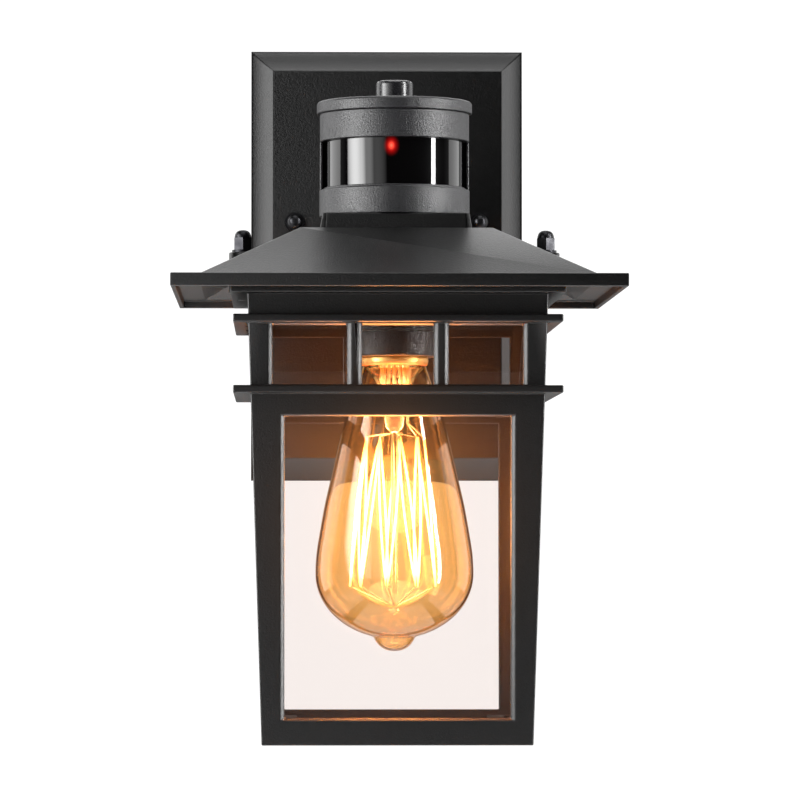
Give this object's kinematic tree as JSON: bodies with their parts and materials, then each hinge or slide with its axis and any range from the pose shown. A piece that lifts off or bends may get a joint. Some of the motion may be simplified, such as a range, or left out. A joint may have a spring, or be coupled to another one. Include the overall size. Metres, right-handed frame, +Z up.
{
  "type": "outdoor wall lantern",
  "caption": "Black wall lantern: hip-roofed glazed cage with an amber filament bulb, a round motion sensor with a mode button on its roof, and a bevelled wall plate.",
  "frame": {"origin": "centre of the mounting bracket's slot pair on the wall plane, level with the wall plate's two cap nuts", "axes": "+Y into the wall, +Z up, +X to the right seen from the front; the lantern hangs towards -Y"},
  "size_m": [0.178, 0.24, 0.2935],
  "materials": {
    "black_coat": "fine sand-textured black powder coat on die-cast aluminium",
    "grey_coat": "coarser sand-textured charcoal powder coat",
    "black_nut": "smooth black plated steel, half gloss",
    "zinc_steel": "zinc-plated steel",
    "green_screw": "green-dyed zinc plate",
    "gasket_foam": "closed-cell foam rubber",
    "grommet_rubber": "moulded rubber",
    "connector_plastic": "moulded plastic with fine ribs",
    "black_lead": "PVC-insulated lead, black",
    "white_lead": "PVC-insulated lead, white",
    "green_lead": "PVC-insulated lead, green",
    "red_lead": "PVC-insulated lead, red",
    "pane_glass": "clear flat glass, 3 mm",
    "socket_ceramic": "glazed porcelain",
    "brass": "drawn brass",
    "amber_glass": "thin blown glass with an amber coat",
    "black_glass": "black vitrite",
    "solder": "soft solder button",
    "stem_glass": "clear drawn glass",
    "nickel_wire": "drawn nickel wire",
    "filament_wire": "carbon filament, lit",
    "smoked_lens": "dark smoked polycarbonate, polished",
    "button_plastic": "polished black plastic",
    "spring_steel": "spring steel wire",
    "circuit_board": "green circuit board",
    "switch_body": "moulded black plastic",
    "detector_can": "nickel-plated can with a dark filter window",
    "red_led": "clear red epoxy, lit",
    "photocell": "coated photocell face",
    "relay_case": "moulded blue plastic",
    "capacitor_sleeve": "shrink-sleeved can"
  },
  "bodies": {
    "fixture": {"backplate": "black_coat", "arm": "black_coat", "roof": "black_coat", "cage_frame": "black_coat", "sensor_plinth": "black_coat", "glass_clips": "black_coat", "sensor_base": "grey_coat", "sensor_top": "grey_coat", "sensor_cap": "grey_coat", "socket_cup": "grey_coat", "socket_skirt": "grey_coat", "plate_washers": "black_nut", "plate_cap_nuts": "black_nut", "roof_washers": "black_nut", "roof_cap_nuts": "black_nut", "mounting_bracket": "zinc_steel", "bracket_studs": "zinc_steel", "bracket_nuts": "zinc_steel", "arm_screws": "zinc_steel", "threaded_nipple": "zinc_steel", "nipple_nuts": "zinc_steel", "cage_studs": "zinc_steel", "sensor_screws": "zinc_steel", "ground_screw": "green_screw", "wall_gasket": "gasket_foam", "roof_grommet": "grommet_rubber", "wire_connectors": "connector_plastic", "line_lead": "black_lead", "neutral_lead": "white_lead", "socket_neutral_lead": "white_lead", "ground_lead": "green_lead", "socket_live_lead": "red_lead", "glass_front": "pane_glass", "glass_back": "pane_glass", "glass_left": "pane_glass", "glass_right": "pane_glass", "socket_insulator": "socket_ceramic", "screw_shell": "brass", "centre_contact": "brass", "sensor_lens": "smoked_lens", "button_spring": "spring_steel", "switch_board": "circuit_board", "sensor_board": "circuit_board", "tact_switch": "switch_body", "motion_detector": "detector_can", "indicator_led": "red_led", "light_sensor": "photocell", "relay": "relay_case", "capacitor": "capacitor_sleeve"},
    "bulb": {"bulb_glass": "amber_glass", "bulb_cap": "brass", "bulb_insulator": "black_glass", "bulb_contact": "solder", "bulb_stem": "stem_glass", "bulb_lead_wires": "nickel_wire", "filament": "filament_wire", "filament_supports": "nickel_wire"},
    "button": {"mode_button": "button_plastic"}
  },
  "joints": [
    {"name": "mode_button_press", "type": "slide", "parent": "fixture", "child": "button", "axis": [0, 0, -1], "range_m": [0, 0.002], "stiffness_N_per_m": 250, "springref_m": -0.002, "deforming": ["button_spring"]},
    {"name": "bulb_removal", "type": "slide", "parent": "fixture", "child": "bulb", "axis": [0, 0, -1], "range_m": [0, 0.18]}
  ]
}
